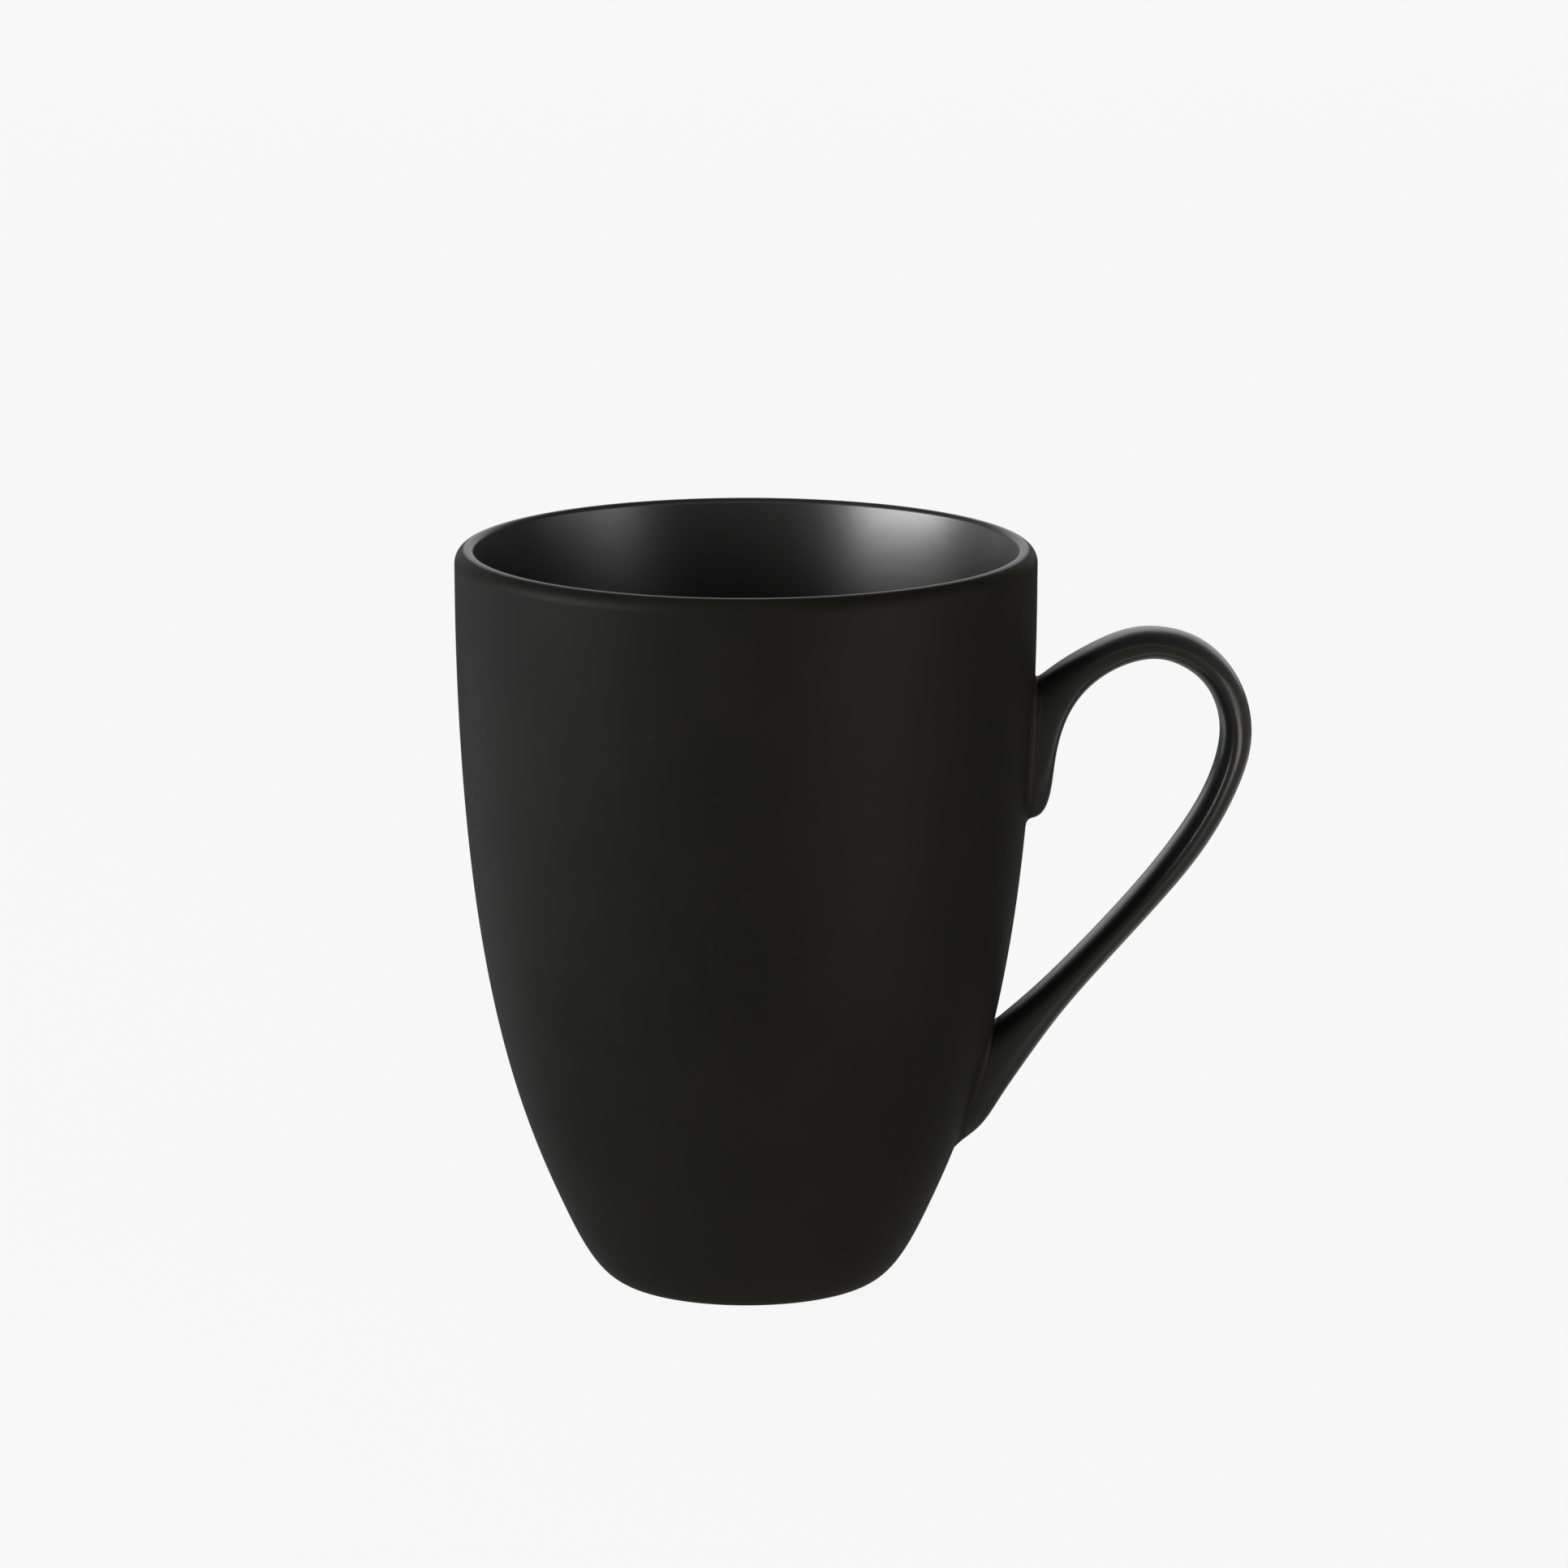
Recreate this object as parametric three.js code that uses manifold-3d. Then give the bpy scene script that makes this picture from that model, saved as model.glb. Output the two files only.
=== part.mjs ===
// Ceramic mug with a rounded bowl and an ear-shaped strap handle.
//
// Four fired-clay pieces, each a closed solid in millimetres, +Z up:
//   mug_body          turned bowl with its foot ring, floor, wall and rounded lip
//   handle            separately cast strap, cut to the wall at both ends
//   upper_slip_joint  pad of fired slip that bonds the handle's long upper root
//   lower_slip_joint  pad of fired slip that bonds the handle's lower tail
//
// The origin is on the bowl's axis in the plane of the foot ring. The handle is on +X.

import * as THREE from 'three';
import { mergeVertices } from 'three/addons/utils/BufferGeometryUtils.js';
import Module from 'manifold-3d';

const wasm = await Module();
wasm.setup();

// ---- Driving dimensions, mm ----

const HEIGHT = 110;
const RIM_RADIUS = 42.7;
// The lip is a quarter ellipse outside, this deep and this tall, and a smaller round inside.
const LIP_OUTER_DEPTH = 2.0;
const LIP_OUTER_DROP = 2.3;
const LIP_INNER_RADIUS = 0.8;
const WALL_THICKNESS = 4.2;
// The inside wall leans out by this angle where it meets the lip.
const LIP_FLARE = THREE.MathUtils.degToRad(8);
const FLOOR_HEIGHT = 5;

const FOOT_OUTER_RADIUS = 16.7;
const FOOT_INNER_RADIUS = 13.2;
const RECESS_RADIUS = 12.2;
const RECESS_DEPTH = 0.8;

// The shoulder is where the rounded heel of the bowl passes into the wall.
const SHOULDER = new THREE.Vector2(26.75, 10.8);
const SHOULDER_ANGLE = THREE.MathUtils.degToRad(65);
const HEEL_REACH = 4;
const SHOULDER_REACH_DOWN = 8;
const SHOULDER_REACH_UP = 16.1;
const WALL_REACH = 62.4;
const FLOOR_REACH = 13;

// Fired slip between the wall and the handle, with an assembly gap on each side of it.
const GAP = 0.3;
const SLIP_THICKNESS = 0.6;
const SLIP_OVERHANG = 0.8;

// Stations of the handle from its upper root, over the loop, to its lower tail.
// Each one is a section across the strap: its outer edge and its inner edge in the XZ
// plane, and its full width along Y.
const HANDLE_STATIONS = [
  { outer: [40.0, 88.3], inner: [40.0, 69.6], width: 11.6 },
  { outer: [41.6, 89.4], inner: [42.7, 70.0], width: 11.5 },
  { outer: [43.2, 90.6], inner: [44.1, 71.7], width: 11.4 },
  { outer: [46.4, 92.9], inner: [45.3, 78.5], width: 11.0 },
  { outer: [50.4, 95.2], inner: [47.7, 86.2], width: 10.7 },
  { outer: [55.0, 97.2], inner: [53.4, 91.7], width: 10.5 },
  { outer: [59.4, 97.9], inner: [59.1, 93.5], width: 10.5 },
  { outer: [65.0, 96.9], inner: [63.4, 92.6], width: 10.5 },
  { outer: [70.1, 93.3], inner: [66.9, 90.0], width: 10.5 },
  { outer: [73.4, 87.5], inner: [69.0, 86.1], width: 10.5 },
  { outer: [74.2, 82.0], inner: [69.5, 82.2], width: 10.5 },
  { outer: [72.6, 75.0], inner: [68.2, 76.3], width: 10.5 },
  { outer: [68.4, 66.7], inner: [64.7, 69.4], width: 10.5 },
  { outer: [60.7, 56.7], inner: [57.3, 59.5], width: 10.5 },
  { outer: [52.1, 47.0], inner: [48.8, 50.1], width: 10.6 },
  { outer: [45.9, 39.7], inner: [42.3, 43.5], width: 10.9 },
  { outer: [41.4, 33.5], inner: [37.0, 38.8], width: 11.3 },
  { outer: [37.4, 27.5], inner: [31.5, 33.5], width: 11.2 },
  { outer: [34.4, 23.2], inner: [28.5, 28.5], width: 9.6 },
  { outer: [31.8, 20.9], inner: [27.0, 25.0], width: 6.0 },
];
// Slip lies under the upper root as far as one station and under the lower tail from another.
const UPPER_ROOT_END = 4;
const LOWER_TAIL_START = 14;

// The strap's section is a superellipse: squarer in both roots, an oval round the loop.
const ROOT_SQUARENESS = 2.6;
const LOOP_SQUARENESS = 2;
const ROOT_SHARE = 0.06;
const LOOP_SHARE = 0.3;

// ---- Resolution ----

const TURN_SEGMENTS = 64;
const HEEL_STEPS = 7;
const WALL_STEPS = 13;
const LIP_STEPS = 8;
const STRAP_STEPS = 48;
const STRAP_SIDES = 20;

// ---- Materials ----

const matteGlaze = new THREE.MeshStandardMaterial({ color: 0x24211f, roughness: 0.75, metalness: 0 });
const satinGlaze = new THREE.MeshStandardMaterial({ color: 0x1f1d1c, roughness: 0.45, metalness: 0 });
const firedSlip = new THREE.MeshStandardMaterial({ color: 0x2a2725, roughness: 0.65, metalness: 0 });

// ---- Solids ----

// A three.js geometry as a manifold solid: only positions stay, with shared vertices merged.
function toSolid(geometry) {
  const bare = geometry.clone();
  bare.deleteAttribute('normal');
  bare.deleteAttribute('uv');
  const merged = mergeVertices(bare, 1e-5);
  return new wasm.Manifold(new wasm.Mesh({
    numProp: 3,
    vertProperties: new Float32Array(merged.attributes.position.array),
    triVerts: new Uint32Array(merged.index.array),
  }));
}

// A manifold solid as a three.js geometry.
function toGeometry(solid) {
  const mesh = solid.getMesh();
  const geometry = new THREE.BufferGeometry();
  geometry.setAttribute('position', new THREE.BufferAttribute(mesh.vertProperties, 3));
  geometry.setIndex(new THREE.BufferAttribute(mesh.triVerts, 1));
  geometry.computeVertexNormals();
  return geometry;
}

function namedMesh(name, geometry, material) {
  const mesh = new THREE.Mesh(geometry, material);
  mesh.name = name;
  return mesh;
}

// A profile of (radius, height) points turned about Z.
function turned(profile) {
  const geometry = new THREE.LatheGeometry(profile, TURN_SEGMENTS);
  geometry.rotateX(Math.PI / 2);
  return geometry;
}

// ---- Meridians of the bowl: (radius, height) points ----

const shoulderTangent = new THREE.Vector2(Math.cos(SHOULDER_ANGLE), Math.sin(SHOULDER_ANGLE));
const shoulderNormal = new THREE.Vector2(shoulderTangent.y, -shoulderTangent.x);

// From a level start, round the heel to the shoulder, then up the wall to an upright end.
function meridian(start, reach, shoulder, top) {
  const heel = new THREE.CubicBezierCurve(
    start,
    new THREE.Vector2(start.x + reach, start.y),
    shoulder.clone().addScaledVector(shoulderTangent, -SHOULDER_REACH_DOWN),
    shoulder,
  );
  const wall = new THREE.CubicBezierCurve(
    shoulder,
    shoulder.clone().addScaledVector(shoulderTangent, SHOULDER_REACH_UP),
    new THREE.Vector2(top.x, HEIGHT - WALL_REACH),
    top,
  );
  return [...heel.getPoints(HEEL_STEPS), ...wall.getPoints(WALL_STEPS).slice(1)];
}

const outerMeridian = meridian(
  new THREE.Vector2(FOOT_OUTER_RADIUS, 0),
  HEEL_REACH,
  SHOULDER,
  new THREE.Vector2(RIM_RADIUS, HEIGHT - LIP_OUTER_DROP),
);

const brink = HEIGHT - LIP_INNER_RADIUS * (1 - Math.sin(LIP_FLARE));
const uprightInnerMeridian = meridian(
  new THREE.Vector2(0, FLOOR_HEIGHT),
  FLOOR_REACH,
  SHOULDER.clone().addScaledVector(shoulderNormal, -WALL_THICKNESS),
  new THREE.Vector2(RIM_RADIUS - WALL_THICKNESS, brink),
);

// The wall thins towards the lip: the inside radius grows as the square of the way up the flare.
const flareGain = WALL_THICKNESS - LIP_OUTER_DEPTH - LIP_INNER_RADIUS * Math.cos(LIP_FLARE);
const flareLength = (2 * flareGain) / Math.tan(LIP_FLARE);
const innerMeridian = uprightInnerMeridian.map((point) => {
  const share = Math.max(1 - (brink - point.y) / flareLength, 0);
  return new THREE.Vector2(point.x + flareGain * share ** 2, point.y);
});

// The rounded lip, from the outer wall over the crest to the flare inside, ends left out.
function lipArc() {
  const crest = RIM_RADIUS - LIP_OUTER_DEPTH;
  const points = [];
  for (let step = 1; step < LIP_STEPS; step += 1) {
    const angle = ((Math.PI - LIP_FLARE) * step) / LIP_STEPS;
    const outside = angle < Math.PI / 2;
    const across = outside ? LIP_OUTER_DEPTH : LIP_INNER_RADIUS;
    const drop = outside ? LIP_OUTER_DROP : LIP_INNER_RADIUS;
    points.push(new THREE.Vector2(
      crest + across * Math.cos(angle),
      HEIGHT - drop * (1 - Math.sin(angle)),
    ));
  }
  return points;
}

function bowlGeometry() {
  return turned([
    new THREE.Vector2(0, RECESS_DEPTH),
    new THREE.Vector2(RECESS_RADIUS, RECESS_DEPTH),
    new THREE.Vector2(FOOT_INNER_RADIUS, 0),
    ...outerMeridian,
    ...lipArc(),
    ...innerMeridian.toReversed(),
  ]);
}

// The bowl's outside without its hollow, moved out from the wall by an offset.
function wallEnvelope(offset) {
  const last = outerMeridian.length - 1;
  const moved = outerMeridian.map((point, index) => {
    const before = outerMeridian[Math.max(index - 1, 0)];
    const after = outerMeridian[Math.min(index + 1, last)];
    const along = after.clone().sub(before).normalize();
    return new THREE.Vector2(point.x + along.y * offset, point.y - along.x * offset);
  });
  return toSolid(turned([
    new THREE.Vector2(0, moved[0].y),
    ...moved,
    new THREE.Vector2(0, moved[last].y),
  ]));
}

// ---- Handle ----

const halfWidthCurve = (edge) => new THREE.CatmullRomCurve3(
  HANDLE_STATIONS.map((station) => new THREE.Vector3(station[edge][0], station.width / 2, station[edge][1])),
);

const outerEdge = halfWidthCurve('outer');
const innerEdge = halfWidthCurve('inner');

// Power of the superellipse at a share of the strap's length, by its distance from an end.
function squareness(t) {
  const loop = THREE.MathUtils.smoothstep(Math.min(t, 1 - t), ROOT_SHARE, LOOP_SHARE);
  return THREE.MathUtils.lerp(ROOT_SQUARENESS, LOOP_SQUARENESS, loop);
}

// One section of the strap: a superellipse that spans the two edges and the strap's width,
// grown outwards by an overhang.
function strapSection(t, overhang) {
  const outer = outerEdge.getPoint(t);
  const inner = innerEdge.getPoint(t);
  const halfWidth = outer.y + overhang;
  const across = new THREE.Vector3(outer.x - inner.x, 0, outer.z - inner.z);
  const halfDepth = across.length() / 2 + overhang;
  across.normalize();
  const middle = new THREE.Vector3((outer.x + inner.x) / 2, 0, (outer.z + inner.z) / 2);
  const power = 2 / squareness(t);
  const squared = (value) => Math.sign(value) * Math.abs(value) ** power;
  const points = [];
  for (let side = 0; side < STRAP_SIDES; side += 1) {
    const angle = (2 * Math.PI * side) / STRAP_SIDES;
    const point = middle.clone().addScaledVector(across, halfDepth * squared(Math.cos(angle)));
    point.y = halfWidth * squared(Math.sin(angle));
    points.push(point);
  }
  return { middle, points };
}

// The strap between two places along it, as one closed skin with a fan over each end.
function strapGeometry(from, to, steps, overhang = 0) {
  const positions = [];
  const triangles = [];
  let lastMiddle = null;
  for (let step = 0; step <= steps; step += 1) {
    const { middle, points } = strapSection(THREE.MathUtils.lerp(from, to, step / steps), overhang);
    if (step === 0) {
      positions.push(...middle.toArray());
    }
    points.forEach((point) => positions.push(...point.toArray()));
    lastMiddle = middle;
  }
  positions.push(...lastMiddle.toArray());
  const end = positions.length / 3 - 1;
  for (let side = 0; side < STRAP_SIDES; side += 1) {
    const next = (side + 1) % STRAP_SIDES;
    triangles.push(0, 1 + side, 1 + next);
    for (let step = 0; step < steps; step += 1) {
      const here = 1 + step * STRAP_SIDES;
      const there = here + STRAP_SIDES;
      triangles.push(here + side, there + side, there + next);
      triangles.push(here + side, there + next, here + next);
    }
    triangles.push(end, end - STRAP_SIDES + next, end - STRAP_SIDES + side);
  }
  const geometry = new THREE.BufferGeometry();
  geometry.setAttribute('position', new THREE.Float32BufferAttribute(positions, 3));
  geometry.setIndex(triangles);
  return geometry;
}

// Share of the strap's length at a station.
const atStation = (index) => index / (HANDLE_STATIONS.length - 1);

const handleSolid = toSolid(strapGeometry(0, 1, STRAP_STEPS))
  .subtract(wallEnvelope(2 * GAP + SLIP_THICKNESS));

// Slip fills a thin layer along the wall under one end of the strap, a little wider than it.
function slipJoint(from, to) {
  return toSolid(strapGeometry(from, to, STRAP_STEPS / 3, SLIP_OVERHANG))
    .intersect(wallEnvelope(GAP + SLIP_THICKNESS))
    .subtract(wallEnvelope(GAP));
}

// ---- Mug ----

const mug = new THREE.Group();
mug.add(namedMesh('mug_body', bowlGeometry(), matteGlaze));
mug.add(namedMesh('handle', toGeometry(handleSolid), satinGlaze));
mug.add(namedMesh('upper_slip_joint', toGeometry(slipJoint(0, atStation(UPPER_ROOT_END))), firedSlip));
mug.add(namedMesh('lower_slip_joint', toGeometry(slipJoint(atStation(LOWER_TAIL_START), 1)), firedSlip.clone()));

export default mug;
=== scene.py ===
"""A black stoneware mug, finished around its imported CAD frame.

The mug is a turned bowl, a cast strap handle and two fillets of fired slip that bond the
handle's ends to the wall. Every surface is worked out with numpy as a grid of points and
glazed with procedural materials. Sizes are in metres, +Z is up, the bowl's axis is Z and
the handle stands on +X.
"""

import logging
import math
from collections.abc import Sequence
from dataclasses import dataclass, field
from enum import Enum
from functools import cache

import bpy
import numpy as np
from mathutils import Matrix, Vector


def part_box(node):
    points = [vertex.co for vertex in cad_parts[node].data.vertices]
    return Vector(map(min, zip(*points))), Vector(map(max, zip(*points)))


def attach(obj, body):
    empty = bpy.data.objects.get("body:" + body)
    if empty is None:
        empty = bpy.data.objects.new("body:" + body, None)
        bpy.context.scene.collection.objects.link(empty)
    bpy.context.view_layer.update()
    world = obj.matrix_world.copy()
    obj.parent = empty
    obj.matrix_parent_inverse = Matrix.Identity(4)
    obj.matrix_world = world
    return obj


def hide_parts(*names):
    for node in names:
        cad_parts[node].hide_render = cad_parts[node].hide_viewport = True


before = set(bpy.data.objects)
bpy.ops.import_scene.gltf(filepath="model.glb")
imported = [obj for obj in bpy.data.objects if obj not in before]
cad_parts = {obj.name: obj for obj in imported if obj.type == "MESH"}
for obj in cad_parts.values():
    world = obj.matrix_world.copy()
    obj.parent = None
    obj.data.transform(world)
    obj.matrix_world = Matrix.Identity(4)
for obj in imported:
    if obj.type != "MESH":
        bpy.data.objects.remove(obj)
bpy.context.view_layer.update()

LOG = logging.getLogger("mug")
MM = 0.001
TURN = 2 * math.pi
SHORTEST = 1e-9

Pair = tuple[float, float]
Triple = tuple[float, float, float]
Colour = tuple[float, float, float, float]
Socket = bpy.types.NodeSocket


# ---------------------------------------------------------------------------
# Curves and grids
# ---------------------------------------------------------------------------


def bezier(handles: Sequence[Pair | np.ndarray], count: int) -> np.ndarray:
    """Points on a cubic Bezier curve, the weighted sum of four handles.

    Args:
        handles: Four (radius, height) points.
        count: How many points to return, ends included.

    Returns:
        An array of shape (count, 2).
    """
    t = np.linspace(0.0, 1.0, count)[:, None]
    s = 1.0 - t
    weights = (s**3, 3 * s**2 * t, 3 * s * t**2, t**3)
    return sum(w * p for w, p in zip(weights, np.asarray(handles, float)))


def arc(centre: Pair, reach: Pair, start: float, end: float, count: int) -> np.ndarray:
    """Points on an ellipse in the (radius, height) plane: centre plus reach times (cos, sin).

    Args:
        centre: The ellipse's centre.
        reach: Its half width and half height.
        start: First angle in radians.
        end: Last angle in radians.
        count: How many points to return, ends included.

    Returns:
        An array of shape (count, 2).
    """
    angle = np.linspace(start, end, count)
    return np.stack([centre[0] + reach[0] * np.cos(angle), centre[1] + reach[1] * np.sin(angle)], axis=1)


def smoothstep(low: float, high: float, value: np.ndarray) -> np.ndarray:
    """Rises from 0 at low to 1 at high as 3x^2 - 2x^3, with level ends."""
    x = np.clip((value - low) / (high - low), 0.0, 1.0)
    return x * x * (3 - 2 * x)


class Spline:
    """A natural cubic spline: piecewise cubics whose slope and curvature run on through the knots."""

    def __init__(self, knots: np.ndarray, values: np.ndarray) -> None:
        """Solves the tridiagonal system for the curvature at each knot.

        Args:
            knots: Rising parameters, shape (n,).
            values: One row of coordinates per knot, shape (n, k).
        """
        self.knots = np.asarray(knots, float)
        self.values = np.asarray(values, float)
        step = np.diff(self.knots)
        slope = np.diff(self.values, axis=0) / step[:, None]
        count = len(self.knots)
        system = np.eye(count)
        inner = np.arange(1, count - 1)
        system[inner, inner - 1] = step[:-1]
        system[inner, inner] = 2 * (step[:-1] + step[1:])
        system[inner, inner + 1] = step[1:]
        right = np.zeros_like(self.values)
        right[1:-1] = 6 * np.diff(slope, axis=0)
        self.bend = np.linalg.solve(system, right)

    def at(self, t: np.ndarray) -> np.ndarray:
        """Blends the cubics of the two knots on either side of each parameter.

        Args:
            t: Parameters, of any shape.

        Returns:
            The spline's points, with coordinates last.
        """
        i = np.clip(np.searchsorted(self.knots, t, side="right") - 1, 0, len(self.knots) - 2)
        width = (self.knots[i + 1] - self.knots[i])[..., None]
        after = (t - self.knots[i])[..., None] / width
        before = 1 - after
        chord = before * self.values[i] + after * self.values[i + 1]
        left = (before**3 - before) * self.bend[i]
        right = (after**3 - after) * self.bend[i + 1]
        return chord + (left + right) * width**2 / 6


def signed_volume(points: np.ndarray, triangles: np.ndarray) -> float:
    """Volume enclosed by triangles: a sixth of the sum of each one's triple product."""
    a, b, c = (points[triangles[:, k]] for k in range(3))
    return float(np.einsum("ij,ij->i", a, np.cross(b, c)).sum() / 6)


def skin(name: str, rings: np.ndarray, layers: dict[str, np.ndarray]) -> bpy.types.Object:
    """Makes a closed, smooth mesh from rings of points, with its faces turned outwards.

    Neighbouring rings are joined by quads, and a fan of triangles about its middle closes
    each end ring.

    Args:
        name: The piece's name.
        rings: Points of shape (rings, points round a ring, 3).
        layers: Values per ring point, shape (rings, points), stored as mesh attributes.

    Returns:
        The new object, linked to the scene.
    """
    rows, columns = rings.shape[:2]
    index = np.arange(rows * columns).reshape(rows, columns)
    following = np.roll(index, -1, axis=1)
    quads = np.stack([index[:-1], following[:-1], following[1:], index[1:]], axis=-1).reshape(-1, 4)
    first, last = index.size, index.size + 1
    points = np.vstack([rings.reshape(-1, 3), rings[0].mean(axis=0), rings[-1].mean(axis=0)])
    near = np.stack([np.full(columns, first), following[0], index[0]], axis=1)
    far = np.stack([np.full(columns, last), index[-1], following[-1]], axis=1)
    fans = np.vstack([near, far])
    halves = np.vstack([quads[:, [0, 1, 2]], quads[:, [0, 2, 3]], fans])
    if signed_volume(points, halves) < 0:
        quads, fans = quads[:, ::-1], fans[:, ::-1]
    mesh = bpy.data.meshes.new(name)
    mesh.from_pydata(points.tolist(), [], quads.tolist() + fans.tolist())
    mesh.polygons.foreach_set("use_smooth", np.ones(len(mesh.polygons), bool))
    for layer, values in layers.items():
        every = np.concatenate([values.reshape(-1), [values[0].mean(), values[-1].mean()]])
        attribute = mesh.attributes.new(layer, "FLOAT", "POINT")
        attribute.data.foreach_set("value", every.astype(np.float32))
    mesh.update()
    piece = bpy.data.objects.new(name, mesh)
    bpy.context.scene.collection.objects.link(piece)
    return piece


def seat(piece: bpy.types.Object, node: str) -> None:
    """Rides a finished piece on the mug's root body, in place of its CAD node, which it hides.

    Args:
        piece: The finished object.
        node: The CAD node that it replaces.
    """
    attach(piece, "root")
    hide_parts(node)
    LOG.info("%s: %d faces, stands for %s", piece.name, len(piece.data.polygons), node)


# ---------------------------------------------------------------------------
# Finishes
# ---------------------------------------------------------------------------


class Shader:
    """A small writer of shader nodes for one material."""

    def __init__(self, name: str) -> None:
        """Starts an empty material that ends in one Principled shader."""
        self.material = bpy.data.materials.new(name)
        self.material.use_nodes = True
        self.nodes = self.material.node_tree.nodes
        self.links = self.material.node_tree.links
        self.nodes.clear()
        self.output = self.nodes.new("ShaderNodeOutputMaterial")
        self.surface = self.nodes.new("ShaderNodeBsdfPrincipled")
        self.links.new(self.surface.outputs["BSDF"], self.output.inputs["Surface"])
        self.place = self.nodes.new("ShaderNodeTexCoord").outputs["Object"]

    def feed(self, socket: Socket, value: object) -> None:
        """Links a socket to another socket, or sets it to a plain value.

        Args:
            socket: The input to fill.
            value: Another node's output, a number or a colour.
        """
        if isinstance(value, Socket):
            self.links.new(value, socket)
        else:
            socket.default_value = value

    def stretched(self, scale: Triple, turn: Triple) -> Socket:
        """Object coordinates turned and scaled, for a pattern with a grain.

        Args:
            scale: Scale along each axis, small along the grain.
            turn: Turn about each axis in radians.

        Returns:
            The coordinates' socket.
        """
        node = self.nodes.new("ShaderNodeMapping")
        self.links.new(self.place, node.inputs["Vector"])
        node.inputs["Scale"].default_value = scale
        node.inputs["Rotation"].default_value = turn
        return node.outputs["Vector"]

    def noise(self, size: float, detail: float, place: Socket | None = None) -> Socket:
        """Cloudy noise, centred on 0.5.

        Args:
            size: About how wide a blotch is.
            detail: How many finer layers lie over it.
            place: Coordinates to use, or None for the piece's own.

        Returns:
            The noise's socket.
        """
        node = self.nodes.new("ShaderNodeTexNoise")
        self.links.new(place or self.place, node.inputs["Vector"])
        node.inputs["Scale"].default_value = 1 / size
        node.inputs["Detail"].default_value = detail
        return node.outputs["Fac"]

    def specks(self, spacing: float, radius: float, core: float, share: float) -> Socket:
        """Scattered round specks: 1 inside a speck and 0 outside.

        Args:
            spacing: Mean distance between the cells that can hold a speck.
            radius: Radius of a speck.
            core: Share of the radius within which the speck is full.
            share: Share of the cells that hold one.

        Returns:
            The mask's socket.
        """
        node = self.nodes.new("ShaderNodeTexVoronoi")
        self.links.new(self.place, node.inputs["Vector"])
        node.inputs["Scale"].default_value = 1 / spacing
        inside = self.ramp(node.outputs["Distance"], radius / spacing, core * radius / spacing)
        pick = self.nodes.new("ShaderNodeSeparateColor")
        self.links.new(node.outputs["Color"], pick.inputs["Color"])
        chosen = self.calc("LESS_THAN", pick.outputs["Red"], share)
        return self.calc("MULTIPLY", inside, chosen)

    def ramp(self, value: Socket, low: float, high: float) -> Socket:
        """Maps a value smoothly to 0 at low and 1 at high, held outside them.

        Args:
            value: The value's socket.
            low: Value that becomes 0. It is above high for a fall.
            high: Value that becomes 1.

        Returns:
            The mapped value's socket.
        """
        node = self.nodes.new("ShaderNodeMapRange")
        node.interpolation_type = "SMOOTHSTEP"
        self.links.new(value, node.inputs["Value"])
        node.inputs["From Min"].default_value = low
        node.inputs["From Max"].default_value = high
        return node.outputs["Result"]

    def span(self, value: Socket, low: float, high: float) -> Socket:
        """Maps a value that runs from 0 to 1 on to the range from low to high.

        Args:
            value: The value's socket.
            low: What 0 becomes.
            high: What 1 becomes.

        Returns:
            The mapped value's socket.
        """
        node = self.nodes.new("ShaderNodeMapRange")
        self.links.new(value, node.inputs["Value"])
        node.inputs["To Min"].default_value = low
        node.inputs["To Max"].default_value = high
        return node.outputs["Result"]

    def calc(self, operation: str, first: object, second: object) -> Socket:
        """One arithmetic step on two values.

        Args:
            operation: The step's name, as Blender's math node has it.
            first: A socket or a number.
            second: A socket or a number.

        Returns:
            The result's socket.
        """
        node = self.nodes.new("ShaderNodeMath")
        node.operation = operation
        self.feed(node.inputs[0], first)
        self.feed(node.inputs[1], second)
        return node.outputs["Value"]

    def mix(self, factor: object, first: object, second: object) -> Socket:
        """Blends two colours.

        Args:
            factor: 0 for the first colour and 1 for the second, as a socket or a number.
            first: A socket or a colour.
            second: A socket or a colour.

        Returns:
            The blend's socket.
        """
        node = self.nodes.new("ShaderNodeMix")
        node.data_type = "RGBA"
        self.feed(node.inputs["Factor"], factor)
        self.feed(node.inputs["A"], first)
        self.feed(node.inputs["B"], second)
        return node.outputs["Result"]

    def layer(self, name: str) -> Socket:
        """One of the piece's own attributes.

        Args:
            name: The attribute's name.

        Returns:
            The value's socket.
        """
        node = self.nodes.new("ShaderNodeAttribute")
        node.attribute_name = name
        return node.outputs["Fac"]

    def finish(self, inputs: dict[str, object]) -> None:
        """Feeds the Principled shader's inputs, each by its name."""
        for name, value in inputs.items():
            self.feed(self.surface.inputs[name], value)

    def relief(self, heights: list[tuple[Socket, float]]) -> None:
        """Adds height fields one over another as bump.

        Args:
            heights: Pairs of a 0 to 1 height field and its full height in metres.
        """
        normal = None
        for height, rise in heights:
            node = self.nodes.new("ShaderNodeBump")
            node.inputs["Strength"].default_value = 1.0
            node.inputs["Distance"].default_value = rise
            self.links.new(height, node.inputs["Height"])
            if normal is not None:
                self.links.new(normal, node.inputs["Normal"])
            normal = node.outputs["Normal"]
        self.links.new(normal, self.surface.inputs["Normal"])
        self.links.new(normal, self.surface.inputs["Coat Normal"])


def paint(red: float, green: float, blue: float) -> Colour:
    """A linear colour with full alpha."""
    return (red, green, blue, 1.0)


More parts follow.
